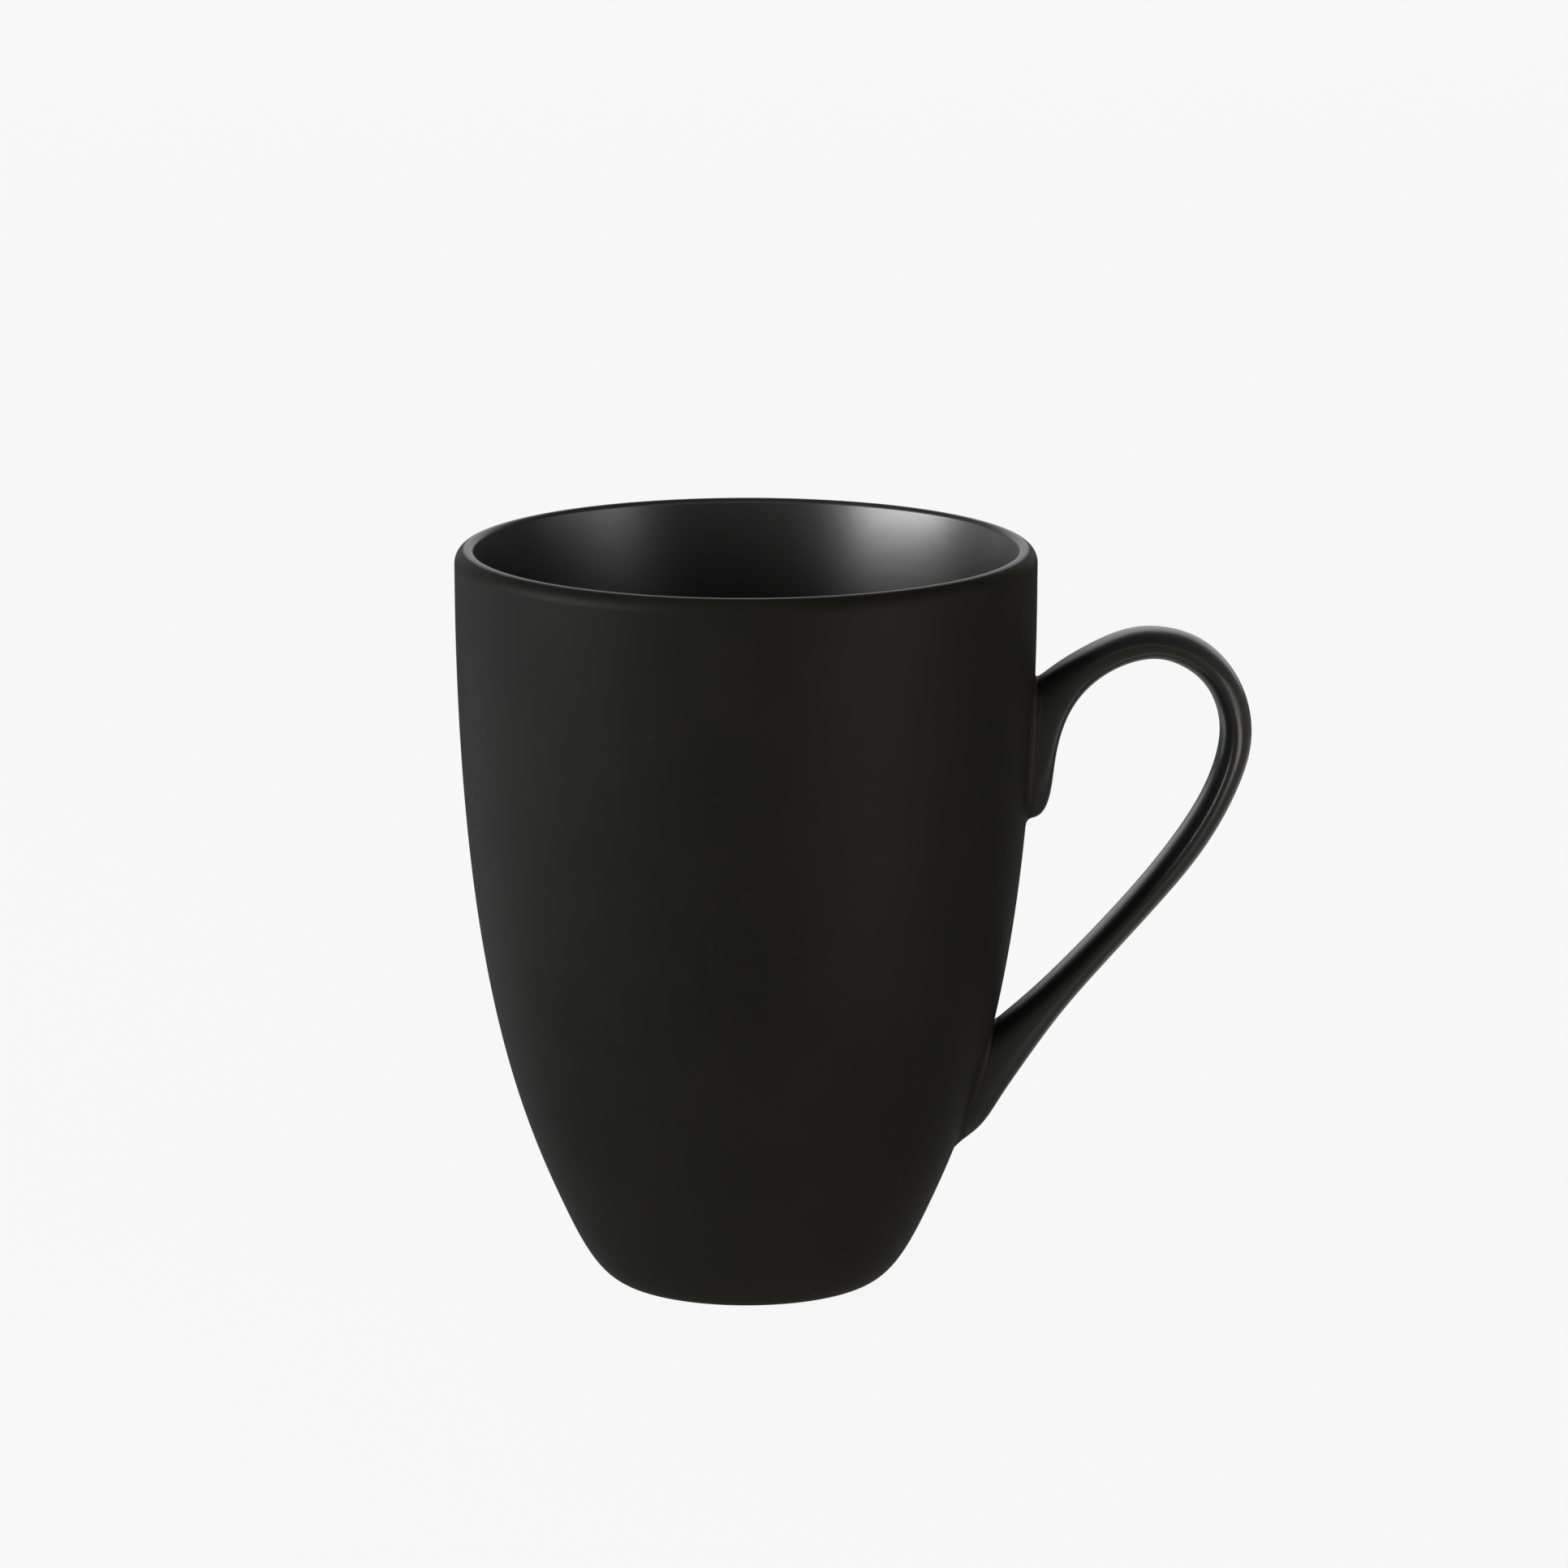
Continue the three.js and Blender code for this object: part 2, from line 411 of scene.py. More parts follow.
@dataclass(frozen=True)
class Mottle:
    """A noise in the glaze, by the width of its blotches and the number of its finer layers.

    Its colour comes in between the noise values low and high, and height is how far it
    raises the surface.
    """

    size: float
    detail: float
    height: float = 0.0
    low: float = 0.0
    high: float = 1.0

    def draw(self, shader: Shader, place: Socket | None = None) -> Socket:
        """Writes the noise, on the piece's own coordinates or on others."""
        return shader.noise(self.size, self.detail, place)

    def shown(self, shader: Shader, noise: Socket) -> Socket:
        """Where the colour comes in, from 0 to 1."""
        return shader.ramp(noise, self.low, self.high)


@dataclass(frozen=True)
class PinSpecks:
    """Round pin specks, with strength for how far they show in the colour."""

    spacing: float = 9 * MM
    radius: float = 0.16 * MM
    core: float = 0.6
    share: float = 0.35
    height: float = 0.03 * MM
    strength: float = 0.7

    def draw(self, shader: Shader) -> Socket:
        """Writes the specks' mask."""
        return shader.specks(self.spacing, self.radius, self.core, self.share)


@dataclass(frozen=True)
class Scuffs:
    """Hairlines: the level lines of a noise stretched along one direction, in sparse patches.

    A line follows where the noise takes the value level and fades over half_width of it.
    """

    stretch: Triple = (1.0, 1.0, 0.06)
    turn: Triple = (0.5, 0.35, 0.0)
    wander: Mottle = Mottle(size=3.0 * MM, detail=1.0)
    level: float = 0.62
    half_width: float = 0.006
    patch: Mottle = Mottle(size=14 * MM, detail=1.0, low=0.58, high=0.7)
    strength: float = 0.12

    def draw(self, shader: Shader) -> Socket:
        """Writes the hairlines' mask.

        Args:
            shader: The material's writer.

        Returns:
            The mask's socket.
        """
        wander = self.wander.draw(shader, shader.stretched(self.stretch, self.turn))
        line = shader.calc("ABSOLUTE", shader.calc("SUBTRACT", wander, self.level), 0.0)
        thin = shader.ramp(line, self.half_width, 0.0)
        return shader.calc("MULTIPLY", thin, self.patch.shown(shader, self.patch.draw(shader)))


@dataclass(frozen=True)
class StonewareGlaze:
    """A dark stoneware glaze with clouding, pin specks, hairline scuffs and a fine skin.

    A clear satin coat lies over it where the piece's satin layer says so, and where its bare
    layer says so the fired clay shows, which turns to grit between the mottling's values in
    gritty. The texture scales every height in the surface, and fine_strength is how far the
    mottling shows in the colour.
    """

    name: str
    shade: Colour
    cloud: Colour
    roughness: float
    specular: float
    coat_roughness: float = 0.34
    coat_ior: float = 1.75
    texture: float = 1.0
    speck: Colour = paint(0.08, 0.075, 0.07)
    clay: Colour = paint(0.17, 0.125, 0.095)
    grit: Colour = paint(0.10, 0.075, 0.06)
    gritty: Pair = (0.4, 0.65)
    clay_roughness: float = 0.85
    roughness_spread: float = 0.05
    fine_strength: float = 0.35
    clouding: Mottle = Mottle(size=22 * MM, detail=4.0, height=0.05 * MM, low=0.35, high=0.7)
    mottling: Mottle = Mottle(size=1.6 * MM, detail=3.0, height=0.010 * MM, low=0.45, high=0.75)
    graining: Mottle = Mottle(size=0.35 * MM, detail=2.0, height=0.004 * MM)
    specks: PinSpecks = PinSpecks()
    scuffs: Scuffs = Scuffs()

    @cache
    def make(self) -> bpy.types.Material:
        """Writes the material's nodes, once for all the pieces that share it.

        Returns:
            The finished material.
        """
        shader = Shader(self.name)
        clouds, mottle, grain, specks = (
            mark.draw(shader) for mark in (self.clouding, self.mottling, self.graining, self.specks)
        )
        bare = shader.layer("bare")
        colour = shader.mix(self.clouding.shown(shader, clouds), self.shade, self.cloud)
        for mask, strength, tint in (
            (self.mottling.shown(shader, mottle), self.fine_strength, self.cloud),
            (specks, self.specks.strength, self.speck),
            (self.scuffs.draw(shader), self.scuffs.strength, self.speck),
        ):
            colour = shader.mix(shader.calc("MULTIPLY", mask, strength), colour, tint)
        clay = shader.mix(shader.ramp(mottle, *self.gritty), self.clay, self.grit)
        smooth, rough = self.roughness - self.roughness_spread, self.roughness + self.roughness_spread
        dry = shader.calc("MULTIPLY", bare, self.clay_roughness)
        shader.finish({
            "Base Color": shader.mix(bare, colour, clay),
            "Roughness": shader.calc("MAXIMUM", shader.span(mottle, smooth, rough), dry),
            "Specular IOR Level": self.specular,
            "Coat Weight": shader.layer("satin"),
            "Coat Roughness": self.coat_roughness,
            "Coat IOR": self.coat_ior,
        })
        heights = [
            (clouds, self.clouding.height),
            (mottle, self.mottling.height),
            (grain, self.graining.height),
            (specks, self.specks.height),
        ]
        shader.relief([(height, rise * self.texture) for height, rise in heights])
        return shader.material


MATTE_BLACK = StonewareGlaze(
    name="matte_black_stoneware",
    shade=paint(0.0112, 0.0112, 0.0108),
    cloud=paint(0.0136, 0.0134, 0.0128),
    roughness=0.50,
    specular=0.07,
)
# Handle glaze: a satin coat over the same black glaze, with base colours painted about twice as light as the
# wall's and tinted cool. This is painted light, standing in for fill and cool reflected light on the
# handle's shaded faces.
SATIN_BLACK_PAINTED_FILL = StonewareGlaze(
    name="satin_black_painted_fill",
    shade=paint(0.0252, 0.0264, 0.0268),
    cloud=paint(0.0284, 0.0295, 0.0298),
    roughness=0.46,
    specular=0.08,
    coat_roughness=0.24,
    coat_ior=1.42,
    texture=0.12,
)
# Slip fillet glaze: the black glaze painted lighter than the wall's. This is a painted highlight along the
# crease where the handle joins the wall.
SLIP_PAINTED_HIGHLIGHT = StonewareGlaze(
    name="black_slip_painted_highlight",
    shade=paint(0.0165, 0.0165, 0.0160),
    cloud=paint(0.0190, 0.0187, 0.0181),
    roughness=0.50,
    specular=0.10,
)


# ---------------------------------------------------------------------------
# The bowl
# ---------------------------------------------------------------------------


@dataclass(frozen=True)
class Wave:
    """One unevenness of a fired wall: size * sin(times * angle + start + twist * height)."""

    times: int
    size: float
    start: float
    twist: float

    def at(self, angle: np.ndarray, height: np.ndarray) -> np.ndarray:
        """The wave at angles and heights that broadcast together."""
        return self.size * np.sin(self.times * angle + self.start + self.twist * height)


@dataclass
class Bowl:
    """The turned bowl: foot ring, heel, wall, rounded lip, inside wall and floor.

    The satin coat comes in over the lip, between the shares of its points in satin_edge. Bare
    clay shows where the foot comes down to the table, between the heights in bare_fade.
    """

    rim_radius: float
    height: float
    lip_depth: float = 2.0 * MM
    lip_drop: float = 2.3 * MM
    lip_round: float = 0.8 * MM
    wall_thickness: float = 4.2 * MM
    flare: float = math.radians(8)
    floor_height: float = 5.0 * MM
    foot_outer: float = 16.7 * MM
    foot_inner: float = 13.2 * MM
    recess_radius: float = 12.2 * MM
    recess_depth: float = 0.8 * MM
    step_leave: float = 0.6 * MM
    step_land: float = 0.35 * MM
    axis_gap: float = 0.2 * MM
    shoulder: Pair = (26.75 * MM, 10.8 * MM)
    shoulder_angle: float = math.radians(65)
    heel_reach: float = 4.0 * MM
    shoulder_down: float = 8.0 * MM
    shoulder_up: float = 16.1 * MM
    wall_reach: float = 62.4 * MM
    floor_reach: float = 13.0 * MM
    satin_edge: Pair = (0.47, 0.60)
    bare_fade: Pair = (0.12 * MM, 0.03 * MM)
    waves: tuple[Wave, ...] = (Wave(2, 1.0, 0.6, 0.0), Wave(3, 0.6, 0.0, 70.0), Wave(5, 0.4, 0.0, -110.0))
    warp: float = 0.03 * MM
    calm_foot: float = 15 * MM
    calm_lip: float = 4 * MM
    recess_points: int = 14
    step_points: int = 10
    ring_points: int = 10
    heel_points: int = 44
    wall_points: int = 80
    lip_points: int = 40
    lip_round_points: int = 20
    columns: int = 240
    outer: np.ndarray = field(init=False)
    inner: np.ndarray = field(init=False)

    def __post_init__(self) -> None:
        """Works out the outer and inner meridians."""
        along = np.array([math.cos(self.shoulder_angle), math.sin(self.shoulder_angle)])
        inwards = np.array([-along[1], along[0]])
        shoulder = np.array(self.shoulder)
        top = (self.rim_radius, self.height - self.lip_drop)
        self.outer = self.meridian((self.foot_outer, 0.0), self.heel_reach, shoulder, along, top)
        brink = self.height - self.lip_round * (1 - math.sin(self.flare))
        shoulder = shoulder + self.wall_thickness * inwards
        top = (self.rim_radius - self.wall_thickness, brink)
        inner = self.meridian((0.0, self.floor_height), self.floor_reach, shoulder, along, top)
        gain = self.wall_thickness - self.lip_depth - self.lip_round * math.cos(self.flare)
        self.inner = self.flared(inner, gain)

    def flared(self, meridian: np.ndarray, gain: float) -> np.ndarray:
        """Opens the top of the inside wall, so that the wall thins towards the lip.

        The radius grows by gain times the square of the share of the way up the flare, whose
        length makes the wall lean out by the flare's angle at its top.

        Args:
            meridian: The upright inside wall's points.
            gain: How much the radius grows at the top.

        Returns:
            The flared points.
        """
        length = 2 * gain / math.tan(self.flare)
        share = np.clip(1 - (meridian[-1, 1] - meridian[:, 1]) / length, 0.0, 1.0)
        return meridian + np.stack([gain * share**2, np.zeros(len(meridian))], axis=1)

    def meridian(
        self, start: Pair, reach: float, shoulder: np.ndarray, along: np.ndarray, top: Pair
    ) -> np.ndarray:
        """A level start, a rounded heel up to the shoulder, and a wall to an upright end.

        Args:
            start: Where the curve leaves the foot or the floor's middle.
            reach: How far it stays level.
            shoulder: Where the heel passes into the wall.
            along: Direction of the curve at the shoulder.
            top: Where the wall meets the lip.

        Returns:
            Points of (radius, height) from start to top.
        """
        level = (start[0] + reach, start[1])
        upright = (top[0], self.height - self.wall_reach)
        heel = bezier([start, level, shoulder - self.shoulder_down * along, shoulder], self.heel_points)
        wall = bezier([shoulder, shoulder + self.shoulder_up * along, upright, top], self.wall_points)
        return np.vstack([heel, wall[1:]])

    def wall_radius(self, height: np.ndarray) -> np.ndarray:
        """The outside wall's radius at a height."""
        return np.interp(height, self.outer[:, 1], self.outer[:, 0])

    def lip(self) -> np.ndarray:
        """A quarter ellipse up the outside to the crest, then a smaller round down to the flare.

        Returns:
            Points of (radius, height) over the lip.
        """
        crest, upright = self.rim_radius - self.lip_depth, math.pi / 2
        centre, reach = (crest, self.height - self.lip_drop), (self.lip_depth, self.lip_drop)
        outside = arc(centre, reach, 0.0, upright, self.lip_points)
        centre, reach = (crest, self.height - self.lip_round), (self.lip_round, self.lip_round)
        inside = arc(centre, reach, upright, math.pi - self.flare, self.lip_round_points)
        return np.vstack([outside, inside[1:]])

    def underside(self) -> np.ndarray:
        """The recess, the step down from it and the foot ring, level except for the step.

        Returns:
            Points of (radius, height) from near the axis to the ring's outer edge.
        """
        recess_radii = np.linspace(self.axis_gap, self.recess_radius, self.recess_points)
        recess = np.stack([recess_radii, np.full(self.recess_points, self.recess_depth)], axis=1)
        ring_radii = np.linspace(self.foot_inner, self.foot_outer, self.ring_points)
        ring = np.stack([ring_radii, np.zeros(self.ring_points)], axis=1)
        leave = (self.recess_radius + self.step_leave, self.recess_depth)
        land = (self.foot_inner - self.step_land, 0.0)
        step = bezier([recess[-1], leave, land, ring[0]], self.step_points)
        return np.vstack([recess, step[1:], ring[1:]])

    def profile(self) -> tuple[np.ndarray, np.ndarray, np.ndarray]:
        """The closed meridian from under the floor, round the wall and lip, to the floor inside.

        Returns:
            The (radius, height) points, and at each one how far the satin coat and the bare
            clay cover it, from 0 to 1.
        """
        outside = np.vstack([self.underside(), self.outer[1:]])
        lip = self.lip()[1:-1]
        inside = np.vstack([self.inner[:0:-1], [[self.axis_gap, self.floor_height]]])
        points = np.vstack([outside, lip, inside])
        edge = smoothstep(*self.satin_edge, np.linspace(0.0, 1.0, len(lip)))
        satin = np.concatenate([np.zeros(len(outside)), edge, np.ones(len(inside))])
        bare = smoothstep(*self.bare_fade, points[:, 1]) * (points[:, 0] > self.recess_radius)
        return points, satin, bare

    def build(self) -> bpy.types.Object:
        """Turns the profile about Z, with the faint unevenness of a fired wall.

        Each ring is the circle (r cos a, r sin a, z). Away from the foot and the lip r is
        drawn in by a few hundredths of a millimetre, the warp times 1 + half the slow waves.

        Returns:
            The bowl's object.
        """
        points, satin, bare = self.profile()
        radius, height = points[:, :1], points[:, 1:]
        angle = TURN * np.arange(self.columns)[None, :] / self.columns
        slow = sum(wave.at(angle, height) for wave in self.waves)
        calm = smoothstep(0.0, self.calm_foot, height) * smoothstep(0.0, self.calm_lip, self.height - height)
        warped = radius - self.warp * (1 + slow / 2) * calm
        level = np.broadcast_to(height, warped.shape)
        rings = np.stack([warped * np.cos(angle), warped * np.sin(angle), level], axis=-1)
        spread = np.ones((1, self.columns))
        layers = {"satin": satin[:, None] * spread, "bare": bare[:, None] * spread}
        return skin("bowl", rings, layers)

    def dress(self, piece: bpy.types.Object) -> None:
        """Glazes the bowl and seats it on the frame."""
        piece.data.materials.append(MATTE_BLACK.make())
        seat(piece, "mug_body")


# ---------------------------------------------------------------------------
# The handle and its slip
# ---------------------------------------------------------------------------


class Root(Enum):
    """The handle's two ends, each a stretch of its length that starts inside the wall."""

    UPPER = (0.0, 0.30)
    LOWER = (1.0, 0.70)


@dataclass
class Strap:
    """The ear-shaped strap, as a surface of its length and the angle round its section.

    Each station is a section: its outer edge and inner edge (x, z) and its width along Y,
    in millimetres, from the upper root over the loop to the lower tail. The fades are shares
    of the length, counted from each end: over the first the section turns from square to
    oval, and over the second the satin coat comes up to its full depth.
    """

    bowl: Bowl
    stations: tuple[tuple[Pair, Pair, float], ...] = (
        ((40.0, 88.3), (40.0, 69.6), 11.6),
        ((41.6, 89.4), (42.7, 70.0), 11.5),
        ((43.2, 90.6), (44.1, 71.7), 11.4),
        ((46.4, 92.9), (45.3, 78.5), 11.0),
        ((50.4, 95.2), (47.7, 86.2), 10.7),
        ((55.0, 97.2), (53.4, 91.7), 10.5),
        ((59.4, 97.9), (59.1, 93.5), 10.5),
        ((65.0, 96.9), (63.4, 92.6), 10.5),
        ((70.1, 93.3), (66.9, 90.0), 10.5),
        ((73.4, 87.5), (69.0, 86.1), 10.5),
        ((74.2, 82.0), (69.5, 82.2), 10.5),
        ((72.6, 75.0), (68.2, 76.3), 10.5),
        ((68.4, 66.7), (64.7, 69.4), 10.5),
        ((60.7, 56.7), (57.3, 59.5), 10.5),
        ((52.1, 47.0), (48.8, 50.1), 10.6),
        ((45.9, 39.7), (42.3, 43.5), 10.9),
        ((41.4, 33.5), (37.0, 38.8), 11.3),
        ((37.4, 27.5), (31.5, 33.5), 11.2),
        ((34.4, 23.2), (28.5, 28.5), 9.6),
        ((31.8, 20.9), (27.0, 25.0), 6.0),
    )
    root_squareness: float = 3.2
    loop_squareness: float = 2.0
    rows: int = 460
    columns: int = 96
    samples: int = 2400
    sink: float = 0.35 * MM
    root_satin: float = 0.1
    oval_fade: Pair = (0.30, 0.06)
    satin_fade: Pair = (0.02, 0.20)
    edges: Spline = field(init=False)

    def __post_init__(self) -> None:
        """Runs one spline through the stations, spaced by the distance between their middles."""
        rows = np.array([[*outer, *inner, width] for outer, inner, width in self.stations]) * MM
        middle = (rows[:, 0:2] + rows[:, 2:4]) / 2
        gaps = np.hypot(*np.diff(middle, axis=0).T)
        self.edges = Spline(np.concatenate([[0.0], np.cumsum(gaps)]) / gaps.sum(), rows)

    def surface(self, t: np.ndarray, angle: np.ndarray) -> np.ndarray:
        """Points of the strap's surface.

        Each section is a superellipse: middle + half depth * C * across + half width * S * Y,
        where C and S are the cosine and sine of the angle raised to 2 / squareness, signs kept.
        The squareness falls from the roots to the loop, where the section is an oval.

        Args:
            t: Share of the strap's length.
            angle: Angle round the section, 0 on the outer edge. It broadcasts with t.

        Returns:
            The points, with coordinates last.
        """
        t, angle = np.broadcast_arrays(t, angle)
        edge = self.edges.at(t)
        outer, inner, width = edge[..., 0:2], edge[..., 2:4], edge[..., 4]
        middle = (outer + inner) / 2
        rooted = smoothstep(*self.oval_fade, np.minimum(t, 1 - t))
        power = 2 / (self.loop_squareness + (self.root_squareness - self.loop_squareness) * rooted)
        cos, sin = np.cos(angle), np.sin(angle)
        out = (np.sign(cos) * np.abs(cos) ** power)[..., None] * (outer - inner) / 2
        side = np.sign(sin) * np.abs(sin) ** power * width / 2
        flat = middle + out
        return np.stack([flat[..., 0], side, flat[..., 1]], axis=-1)

    def clearance(self, points: np.ndarray) -> np.ndarray:
        """Distance outside the wall, measured along the radius."""
        return np.hypot(points[..., 0], points[..., 1]) - self.bowl.wall_radius(points[..., 2])

    def crossing(self, root: Root, angle: np.ndarray, level: float) -> np.ndarray:
        """Where each line along the strap comes out through the wall, raised by a level.

        The clearance is sampled along each line from inside the wall, and the first rise
        through the level is placed between its two samples in proportion.

        Args:
            root: Which end of the strap.
            angle: Angles round the section, shape (n,).
            level: Clearance to find.

        Returns:
            Shares of the strap's length, shape (n,).
        """
        start, end = root.value
        t = np.linspace(start, end, self.samples)[:, None]
        rise = self.clearance(self.surface(t, angle[None, :])) - level
        after = np.argmax(rise > 0, axis=0)
        before = np.maximum(after - 1, 0)
        column = np.arange(len(angle))
        low, high = rise[before, column], rise[after, column]
        share = np.where(after > 0, -low / np.where(high == low, 1.0, high - low), 0.0)
        return t[before, 0] + share * (t[after, 0] - t[before, 0])

    def angles(self) -> np.ndarray:
        """Even angles round the section, shape (columns,)."""
        return TURN * np.arange(self.columns) / self.columns

    def build(self) -> bpy.types.Object:
        """Lays the strap's rings from where it leaves the wall above to where it meets it below.

        Returns:
            The handle's object.
        """
        angle = self.angles()
        first = self.crossing(Root.UPPER, angle, -self.sink)
        last = self.crossing(Root.LOWER, angle, -self.sink)
        share = np.linspace(0.0, 1.0, self.rows)[:, None]
        rings = self.surface(first + (last - first) * share, angle[None, :])
        none = np.zeros(rings.shape[:2])
        full = smoothstep(*self.satin_fade, np.minimum(share, 1 - share))
        satin = none + self.root_satin + (1 - self.root_satin) * full
        return skin("strap_handle", rings, {"satin": satin, "bare": none})

    def dress(self, piece: bpy.types.Object) -> None:
        """Glazes the handle and seats it on the frame."""
        piece.data.materials.append(SATIN_BLACK_PAINTED_FILL.make())
        seat(piece, "handle")


@dataclass
class SlipFillet:
    """Fired slip round one end of the strap: a hollow fillet between the wall and the strap."""

    strap: Strap
    root: Root
    name: str
    node: str
    climb: float = 1.1 * MM
    spread: float = 1.0 * MM
    depth: float = 0.35 * MM
    tuck: float = 0.25
    steps: int = 14

    def build(self) -> bpy.types.Object:
        """Sweeps the fillet round the strap's footprint on the wall.

        At each angle the fillet is a quadratic curve from a point out on the wall, bent
        towards the footprint, up to a point on the strap. Its first ring goes down inside the
        wall, its last is tucked towards the strap's middle, and a fan closes each.

        Returns:
            The fillet's object.
        """
        strap, bowl = self.strap, self.strap.bowl
        angle = strap.angles()
        foot = strap.surface(strap.crossing(self.root, angle, 0.0), angle)
        top = strap.surface(strap.crossing(self.root, angle, self.climb), angle)
        turn = np.arctan2(foot[:, 1], foot[:, 0])
        flat = np.stack([turn * bowl.wall_radius(foot[:, 2]), foot[:, 2]], axis=1)
        tangent = np.roll(flat, -1, axis=0) - np.roll(flat, 1, axis=0)
        tangent /= np.maximum(np.hypot(*tangent.T), SHORTEST)[:, None]
        outwards = np.stack([tangent[:, 1], -tangent[:, 0]], axis=1)
        centre = flat.mean(axis=0)
        outwards *= np.sign(np.sum(outwards * (flat - centre), axis=1).sum())
        edge = flat + self.spread * outwards
        rim = self.on_wall(edge, 0.0)
        under = self.on_wall(edge, -self.depth)
        t = np.linspace(0.0, 1.0, self.steps)[:, None, None]
        fillet = (1 - t) ** 2 * rim + 2 * t * (1 - t) * foot + t**2 * top
        inside = top + self.tuck * (top.mean(axis=0) - top) - np.array([self.depth, 0.0, 0.0])
        rings = np.concatenate([under[None], fillet, inside[None]])
        none = np.zeros(rings.shape[:2])
        return skin(self.name, rings, {"satin": none, "bare": none})

    def on_wall(self, flat: np.ndarray, rise: float) -> np.ndarray:
        """Wraps points of (arc length round the wall, height) back on to the wall.

        Args:
            flat: Points of shape (n, 2).
            rise: Height above the wall along the radius, negative inside it.

        Returns:
            Points of shape (n, 3).
        """
        wall = self.strap.bowl.wall_radius(flat[:, 1])
        turn = flat[:, 0] / wall
        return np.stack([(wall + rise) * np.cos(turn), (wall + rise) * np.sin(turn), flat[:, 1]], axis=1)

    def dress(self, piece: bpy.types.Object) -> None:
        """Glazes the fillet and seats it on the frame."""
        piece.data.materials.append(SLIP_PAINTED_HIGHLIGHT.make())
        seat(piece, self.node)


# ---------------------------------------------------------------------------
# Floor, lights and camera
# ---------------------------------------------------------------------------


@dataclass(frozen=True)
class SoftBox:
    """A rectangular soft light on a sphere about the mug.

    The bearing runs from the camera's side, positive to the right, and both angles are in
    degrees. The glow is the light's brightness: its power is pi times glow times area.
    """

    name: str
    bearing: float
    elevation: float
    size: Pair
    glow: float
    colour: Triple = (1.0, 1.0, 1.0)
    distance: float = 1.6

    def hang(self, aim: Vector) -> None:
        """Adds the light, turned towards a point.

        Args:
            aim: The point that it faces.
        """
        light = bpy.data.lights.new(self.name, "AREA")
        light.shape = "RECTANGLE"
        light.size, light.size_y = self.size
        light.energy = math.pi * self.glow * self.size[0] * self.size[1]
        light.color = self.colour
        bearing, elevation = math.radians(self.bearing), math.radians(self.elevation)
        reach, rise = self.distance * math.cos(elevation), self.distance * math.sin(elevation)
        away = Vector((reach * math.sin(bearing), -reach * math.cos(bearing), rise))
        lamp = bpy.data.objects.new(self.name, light)
        lamp.location = aim + away
        lamp.rotation_euler = (-away).to_track_quat("-Z", "Y").to_euler()
        bpy.context.scene.collection.objects.link(lamp)


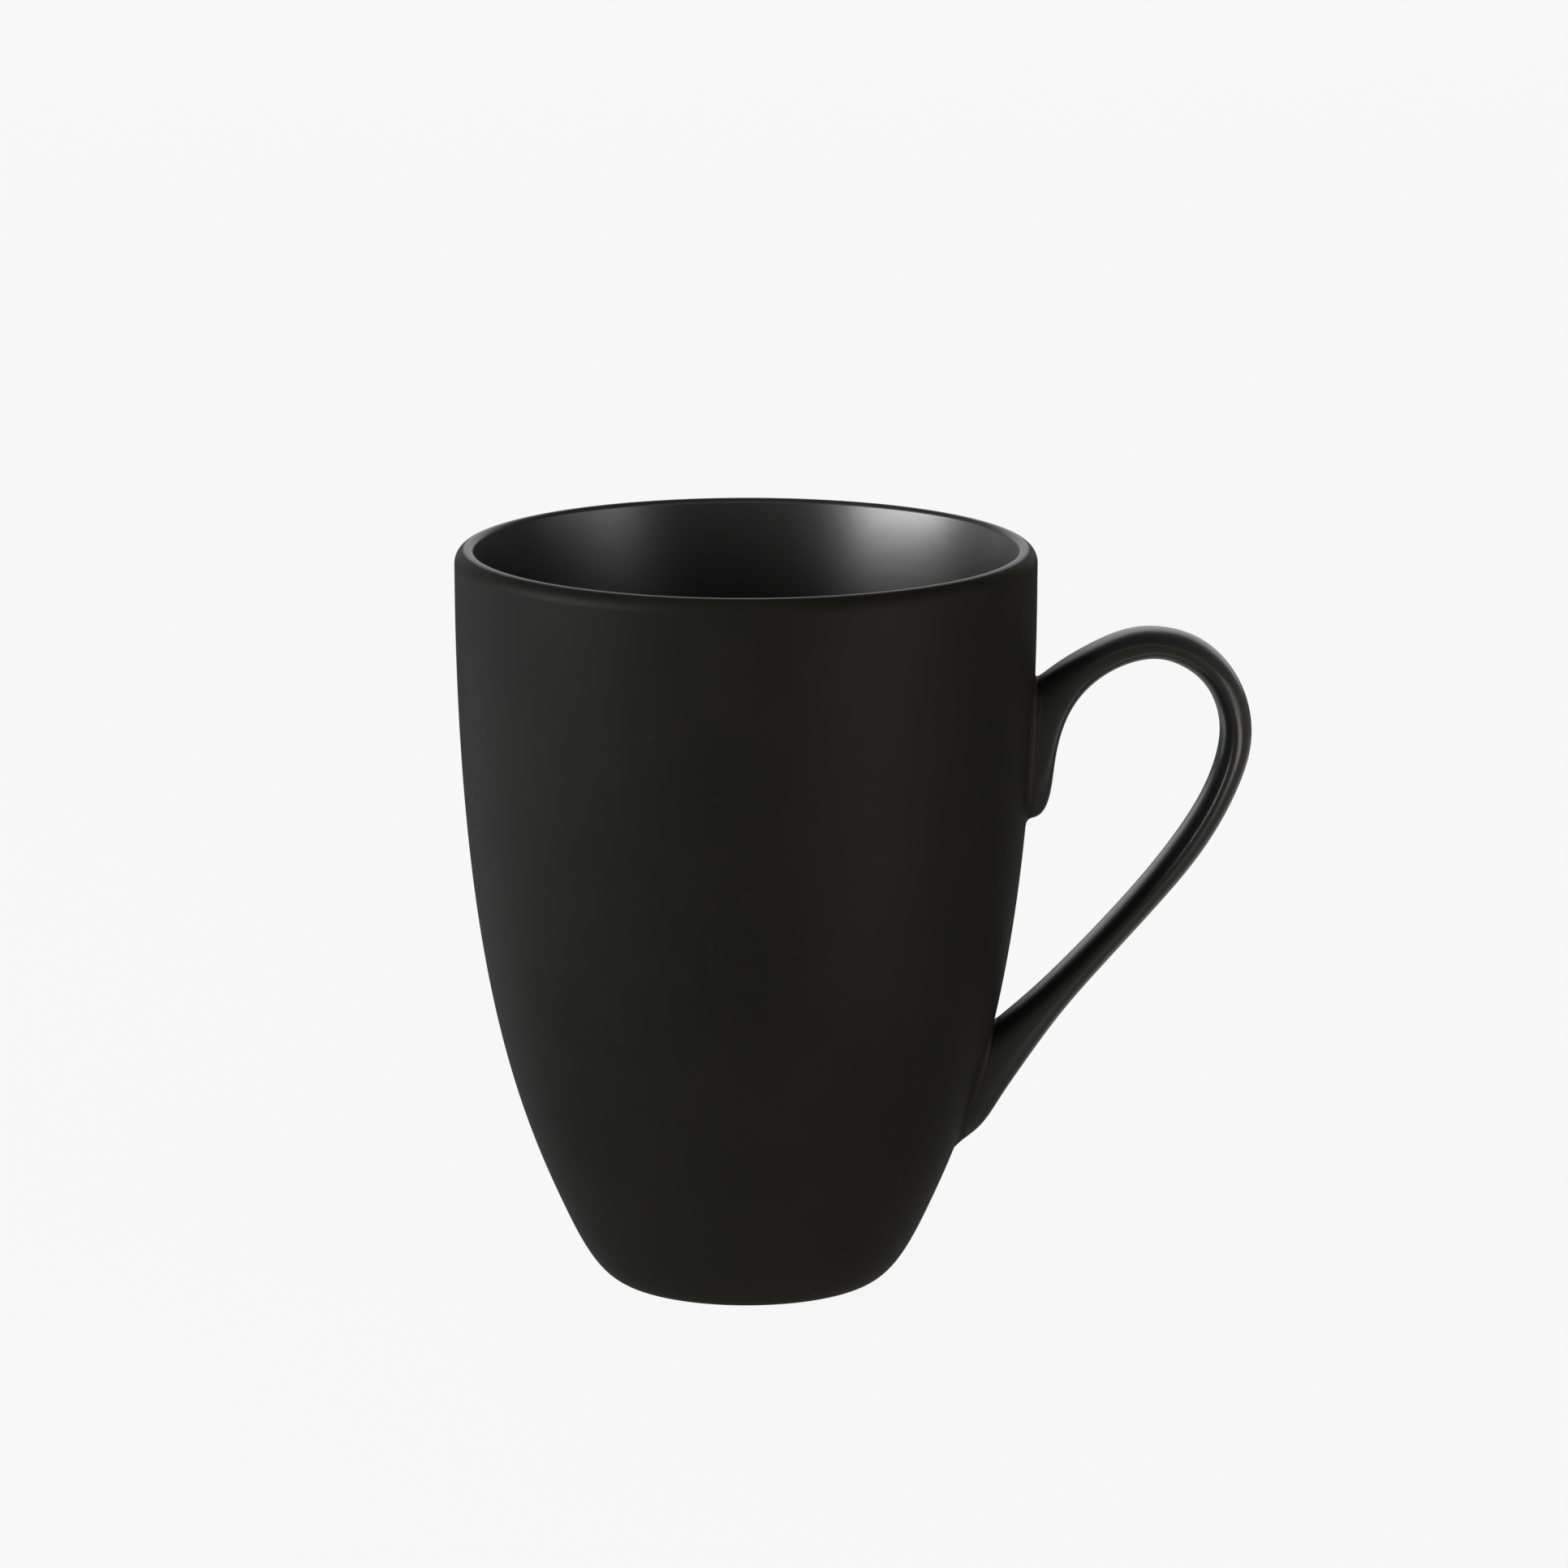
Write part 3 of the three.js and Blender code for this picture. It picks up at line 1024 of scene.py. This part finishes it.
@dataclass(frozen=True)
class Studio:
    """A plain pale studio: floor, surroundings, soft lights and the camera."""

    paper_glow: float = 0.913
    paper_shade: Colour = paint(0.05, 0.05, 0.05)
    white: Colour = paint(1.0, 1.0, 1.0)
    ambient: float = 0.10
    floor_middle: float = 20 * MM
    floor_radius: float = 8.0
    floor_drop: float = 0.05 * MM
    floor_rings: int = 40
    floor_columns: int = 96
    aim_height: float = 55 * MM
    lights: tuple[SoftBox, ...] = (
        SoftBox("left_box", -72, 12, (1.32, 0.62), 11.6),
        SoftBox("left_edge", -108, 12, (0.62, 0.62), 0.6),
        SoftBox("left_bounce", -120, -12, (1.3, 0.62), 0.8, (0.95, 1.0, 0.99)),
        SoftBox("right_box", 60, 12, (0.62, 0.62), 2.5),
        SoftBox("right_edge", 84, 12, (0.62, 0.62), 0.85),
        SoftBox("front_sky", 12, 36, (1.9, 0.62), 0.37),
        SoftBox("table_bounce", 48, -12, (1.3, 0.62), 3.9, (1.0, 0.95, 0.78)),
        SoftBox("backdrop", 180, 14, (2.0, 0.8), 0.72),
        SoftBox("back_table", 180, -34, (2.4, 1.2), 0.2),
        SoftBox("table_glow", 0, -80, (2.0, 2.0), 0.5, (1.0, 0.97, 0.88)),
    )
    camera_distance: float = 1.5
    camera_height: float = 0.38491
    camera_pitch: float = math.radians(11.690)
    camera_turn: float = math.radians(0.2118)
    lens: float = 239.28
    sensor: float = 36.0
    sight: float = 50.0

    def build(self) -> None:
        """Sets up the whole studio."""
        self.lay_floor()
        self.fill_air()
        for light in self.lights:
            light.hang(Vector((0.0, 0.0, self.aim_height)))
        self.place_camera()

    def lay_floor(self) -> None:
        """A wide flat disc of seamless paper just under the foot, with an even glow and no horizon."""
        shape = (self.floor_rings, self.floor_columns)
        angle = TURN * np.arange(self.floor_columns) / self.floor_columns
        radius = np.geomspace(self.floor_middle, self.floor_radius, self.floor_rings)[:, None]
        level = np.full(shape, -self.floor_drop)
        flat = np.stack([radius * np.cos(angle), radius * np.sin(angle), level], axis=-1)
        index = np.arange(level.size).reshape(shape)
        step = np.roll(index, -1, axis=1)
        quads = np.stack([index[:-1], index[1:], step[1:], step[:-1]], axis=-1).reshape(-1, 4)
        mesh = bpy.data.meshes.new("paper_floor")
        mesh.from_pydata(flat.reshape(-1, 3).tolist(), [], quads.tolist() + [index[0].tolist()])
        floor = bpy.data.objects.new("paper_floor", mesh)
        bpy.context.scene.collection.objects.link(floor)
        shader = Shader("seamless_paper")
        shader.finish({
            "Base Color": self.paper_shade,
            "Specular IOR Level": 0.0,
            "Emission Color": self.white,
            "Emission Strength": self.paper_glow,
        })
        mesh.materials.append(shader.material)
        floor.visible_diffuse = False
        floor.visible_glossy = False
        floor.visible_shadow = False

    def fill_air(self) -> None:
        """A dim even glow from all round, shown without a film curve."""
        world = bpy.data.worlds.new("studio_air")
        world.use_nodes = True
        background = world.node_tree.nodes["Background"]
        background.inputs["Color"].default_value = self.white
        background.inputs["Strength"].default_value = self.ambient
        bpy.context.scene.world = world
        bpy.context.scene.view_settings.view_transform = "Standard"

    def place_camera(self) -> None:
        """A long lens, a little above the rim, looking down at the mug."""
        data = bpy.data.cameras.new("camera")
        data.lens = self.lens
        data.sensor_width = self.sensor
        data.clip_end = self.sight
        camera = bpy.data.objects.new("camera", data)
        camera.location = (0.0, -self.camera_distance, self.camera_height)
        camera.rotation_euler = (math.pi / 2 - self.camera_pitch, 0.0, -self.camera_turn)
        bpy.context.scene.collection.objects.link(camera)
        bpy.context.scene.camera = camera


def main() -> None:
    """Builds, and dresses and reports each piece."""
    logging.basicConfig(level=logging.INFO, format="%(name)s: %(message)s")
    Studio().build()
    _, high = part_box("mug_body")
    bowl = Bowl(rim_radius=high.x, height=high.z)
    strap = Strap(bowl)
    makers = (
        bowl,
        strap,
        SlipFillet(strap, Root.UPPER, "upper_slip_fillet", "upper_slip_joint"),
        SlipFillet(strap, Root.LOWER, "lower_slip_fillet", "lower_slip_joint"),
    )
    for maker in makers:
        maker.dress(maker.build())


if __name__ == "__main__":
    main()
